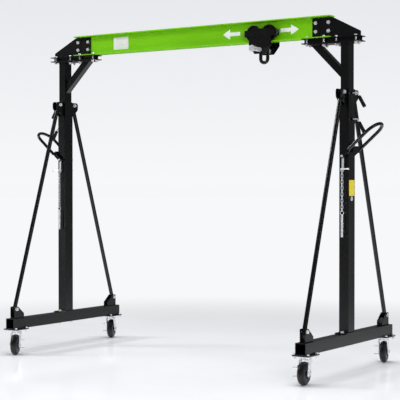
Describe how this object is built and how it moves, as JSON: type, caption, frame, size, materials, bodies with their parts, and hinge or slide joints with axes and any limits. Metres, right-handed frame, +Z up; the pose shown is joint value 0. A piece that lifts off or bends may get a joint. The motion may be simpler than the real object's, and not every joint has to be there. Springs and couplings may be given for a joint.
{
  "type": "adjustable gantry crane",
  "caption": "Portable gantry crane: an I-beam on height-adjustable legs with lifting handles, braces and braked casters, and a push trolley with a load link.",
  "frame": {"origin": "on the floor under the middle of the beam", "axes": "+X along the beam to the right leg, +Y to the back, +Z up"},
  "size_m": [2.9588, 1.339, 2.4],
  "materials": {
    "black_powder_coat": "semi-gloss",
    "green_enamel": "gloss",
    "bright_zinc": "satin",
    "black_rubber": "matte"
  },
  "bodies": {
    "left_leg": {"left_base_beam": "black_powder_coat", "left_caster_plates": "black_powder_coat", "left_brace_feet": "black_powder_coat", "left_outer_post": "black_powder_coat", "left_brace_rods": "black_powder_coat", "left_fittings": "bright_zinc"},
    "right_leg": {"right_base_beam": "black_powder_coat", "right_caster_plates": "black_powder_coat", "right_brace_feet": "black_powder_coat", "right_outer_post": "black_powder_coat", "right_brace_rods": "black_powder_coat", "right_fittings": "bright_zinc"},
    "upper_frame": {"i_beam": "green_enamel", "left_mast": "black_powder_coat", "left_strut": "black_powder_coat", "left_end_bracket": "black_powder_coat", "left_head_bolts": "bright_zinc", "right_mast": "black_powder_coat", "right_strut": "black_powder_coat", "right_end_bracket": "black_powder_coat", "right_head_bolts": "bright_zinc"},
    "trolley": {"trolley_front_plate": "black_powder_coat", "trolley_back_plate": "black_powder_coat", "load_axle": "bright_zinc", "axle_ring_pins": "bright_zinc"},
    "load_link": {"load_link": "black_powder_coat"},
    "roller_front_left": {"trolley_roller_front_left": "black_powder_coat"},
    "roller_front_right": {"trolley_roller_front_right": "black_powder_coat"},
    "roller_back_left": {"trolley_roller_back_left": "black_powder_coat"},
    "roller_back_right": {"trolley_roller_back_right": "black_powder_coat"},
    "left_upper_clamp": {"left_upper_clamp": "black_rubber"},
    "left_lower_clamp": {"left_lower_clamp": "black_rubber"},
    "left_lever": {"left_lever": "black_powder_coat"},
    "left_front_link": {"left_front_link": "bright_zinc"},
    "left_back_link": {"left_back_link": "bright_zinc"},
    "left_chain": {"left_chain": "bright_zinc"},
    "left_front_fork": {"left_front_caster_fork": "bright_zinc"},
    "left_front_wheel": {"left_front_caster_wheel": "black_rubber"},
    "left_front_pedal": {"left_front_brake_pedal": "bright_zinc"},
    "left_back_fork": {"left_back_caster_fork": "bright_zinc"},
    "left_back_wheel": {"left_back_caster_wheel": "black_rubber"},
    "left_back_pedal": {"left_back_brake_pedal": "bright_zinc"},
    "right_upper_clamp": {"right_upper_clamp": "black_rubber"},
    "right_lower_clamp": {"right_lower_clamp": "black_rubber"},
    "right_lever": {"right_lever": "black_powder_coat"},
    "right_front_link": {"right_front_link": "bright_zinc"},
    "right_back_link": {"right_back_link": "bright_zinc"},
    "right_chain": {"right_chain": "bright_zinc"},
    "right_front_fork": {"right_front_caster_fork": "bright_zinc"},
    "right_front_wheel": {"right_front_caster_wheel": "black_rubber"},
    "right_front_pedal": {"right_front_brake_pedal": "bright_zinc"},
    "right_back_fork": {"right_back_caster_fork": "bright_zinc"},
    "right_back_wheel": {"right_back_caster_wheel": "black_rubber"},
    "right_back_pedal": {"right_back_brake_pedal": "bright_zinc"}
  },
  "joints": [
    {"name": "mast_slide_left", "type": "slide", "parent": "left_leg", "child": "upper_frame", "axis": [0, 0, 1], "range_m": [0, 1.2]},
    {"name": "mast_slide_right", "type": "slide", "parent": "upper_frame", "child": "right_leg", "axis": [0, 0, -1], "range_m": [0, 1.2]},
    {"name": "trolley_travel", "type": "slide", "parent": "upper_frame", "child": "trolley", "axis": [1, 0, 0], "range_m": [-1.36, 0.2]},
    {"name": "roller_front_left_spin", "type": "hinge", "parent": "trolley", "child": "roller_front_left", "pos_m": [0.5175, 0, 2.31], "axis": [0, 1, 0], "range_deg": [-1530, 240]},
    {"name": "roller_front_right_spin", "type": "hinge", "parent": "trolley", "child": "roller_front_right", "pos_m": [0.6425, 0, 2.31], "axis": [0, 1, 0], "range_deg": [-1530, 240]},
    {"name": "roller_back_left_spin", "type": "hinge", "parent": "trolley", "child": "roller_back_left", "pos_m": [0.5175, 0, 2.31], "axis": [0, 1, 0], "range_deg": [-1530, 240]},
    {"name": "roller_back_right_spin", "type": "hinge", "parent": "trolley", "child": "roller_back_right", "pos_m": [0.6425, 0, 2.31], "axis": [0, 1, 0], "range_deg": [-1530, 240]},
    {"name": "load_link_swing", "type": "hinge", "parent": "trolley", "child": "load_link", "pos_m": [0.58, 0, 2.195], "axis": [0, 1, 0], "range_deg": [-45, 45]},
    {"name": "left_upper_clamp_turn", "type": "hinge", "parent": "left_leg", "child": "left_upper_clamp", "pos_m": [-1.275, 0, 1.871], "axis": [-1, 0, 0], "range_deg": [-60, 60]},
    {"name": "left_lower_clamp_turn", "type": "hinge", "parent": "left_leg", "child": "left_lower_clamp", "pos_m": [-1.275, 0, 1.698], "axis": [-1, 0, 0], "range_deg": [-60, 60]},
    {"name": "left_lever_swing", "type": "hinge", "parent": "left_leg", "child": "left_lever", "pos_m": [-1.276, 0, 1.495], "axis": [0, -1, 0], "range_deg": [-10, 65]},
    {"name": "left_front_link_swing", "type": "hinge", "parent": "left_lever", "child": "left_front_link", "pos_m": [-1.22543, -0.0625, 1.45104], "axis": [0, -1, 0], "range_deg": [-70, 40]},
    {"name": "left_back_link_swing", "type": "hinge", "parent": "left_lever", "child": "left_back_link", "pos_m": [-1.22543, 0.0625, 1.45104], "axis": [0, -1, 0], "range_deg": [-70, 40]},
    {"name": "left_chain_swing", "type": "hinge", "parent": "left_front_link", "child": "left_chain", "pos_m": [-1.22543, -0.074, 1.36604], "axis": [0, -1, 0], "range_deg": [-30, 30]},
    {"name": "right_upper_clamp_turn", "type": "hinge", "parent": "right_leg", "child": "right_upper_clamp", "pos_m": [1.275, 0, 1.871], "axis": [1, 0, 0], "range_deg": [-60, 60]},
    {"name": "right_lower_clamp_turn", "type": "hinge", "parent": "right_leg", "child": "right_lower_clamp", "pos_m": [1.275, 0, 1.698], "axis": [1, 0, 0], "range_deg": [-60, 60]},
    {"name": "right_lever_swing", "type": "hinge", "parent": "right_leg", "child": "right_lever", "pos_m": [1.276, 0, 1.495], "axis": [0, 1, 0], "range_deg": [-10, 65]},
    {"name": "right_front_link_swing", "type": "hinge", "parent": "right_lever", "child": "right_front_link", "pos_m": [1.22543, -0.0625, 1.45104], "axis": [0, 1, 0], "range_deg": [-70, 40]},
    {"name": "right_back_link_swing", "type": "hinge", "parent": "right_lever", "child": "right_back_link", "pos_m": [1.22543, 0.0625, 1.45104], "axis": [0, 1, 0], "range_deg": [-70, 40]},
    {"name": "right_chain_swing", "type": "hinge", "parent": "right_front_link", "child": "right_chain", "pos_m": [1.22543, -0.074, 1.36604], "axis": [0, 1, 0], "range_deg": [-30, 30]},
    {"name": "left_front_swivel", "type": "hinge", "parent": "left_leg", "child": "left_front_fork", "pos_m": [-1.225, -0.565, 0.17], "axis": [0, 0, 1], "continuous": true},
    {"name": "left_front_wheel_spin", "type": "hinge", "parent": "left_front_fork", "child": "left_front_wheel", "pos_m": [-1.21092, -0.59149, 0.075], "axis": [-0.8829, -0.4695, 0], "continuous": true},
    {"name": "left_front_pedal_press", "type": "hinge", "parent": "left_front_fork", "child": "left_front_pedal", "pos_m": [-1.21092, -0.59149, 0.075], "axis": [-0.8829, -0.4695, 0], "range_deg": [0, 15]},
    {"name": "left_back_swivel", "type": "hinge", "parent": "left_leg", "child": "left_back_fork", "pos_m": [-1.225, 0.565, 0.17], "axis": [0, 0, 1], "continuous": true},
    {"name": "left_back_wheel_spin", "type": "hinge", "parent": "left_back_fork", "child": "left_back_wheel", "pos_m": [-1.2372, 0.59241, 0.075], "axis": [0.9135, 0.4067, 0], "continuous": true},
    {"name": "left_back_pedal_press", "type": "hinge", "parent": "left_back_fork", "child": "left_back_pedal", "pos_m": [-1.2372, 0.59241, 0.075], "axis": [0.9135, 0.4067, 0], "range_deg": [0, 15]},
    {"name": "right_front_swivel", "type": "hinge", "parent": "right_leg", "child": "right_front_fork", "pos_m": [1.225, -0.565, 0.17], "axis": [0, 0, 1], "continuous": true},
    {"name": "right_front_wheel_spin", "type": "hinge", "parent": "right_front_fork", "child": "right_front_wheel", "pos_m": [1.22866, -0.59478, 0.075], "axis": [-0.9925, -0.1219, 0], "continuous": true},
    {"name": "right_front_pedal_press", "type": "hinge", "parent": "right_front_fork", "child": "right_front_pedal", "pos_m": [1.22866, -0.59478, 0.075], "axis": [-0.9925, -0.1219, 0], "range_deg": [0, 15]},
    {"name": "right_back_swivel", "type": "hinge", "parent": "right_leg", "child": "right_back_fork", "pos_m": [1.225, 0.565, 0.17], "axis": [0, 0, 1], "continuous": true},
    {"name": "right_back_wheel_spin", "type": "hinge", "parent": "right_back_fork", "child": "right_back_wheel", "pos_m": [1.21724, 0.59398, 0.075], "axis": [0.9659, 0.2588, 0], "continuous": true},
    {"name": "right_back_pedal_press", "type": "hinge", "parent": "right_back_fork", "child": "right_back_pedal", "pos_m": [1.21724, 0.59398, 0.075], "axis": [0.9659, 0.2588, 0], "range_deg": [0, 15]}
  ],
  "couplings": [
    {"joint": "mast_slide_right", "follows": "mast_slide_left", "ratio": 1},
    {"joint": "roller_front_left_spin", "follows": "trolley_travel", "rad_per_m": 19.342},
    {"joint": "roller_front_right_spin", "follows": "trolley_travel", "rad_per_m": 19.342},
    {"joint": "roller_back_left_spin", "follows": "trolley_travel", "rad_per_m": 19.342},
    {"joint": "roller_back_right_spin", "follows": "trolley_travel", "rad_per_m": 19.342}
  ]
}
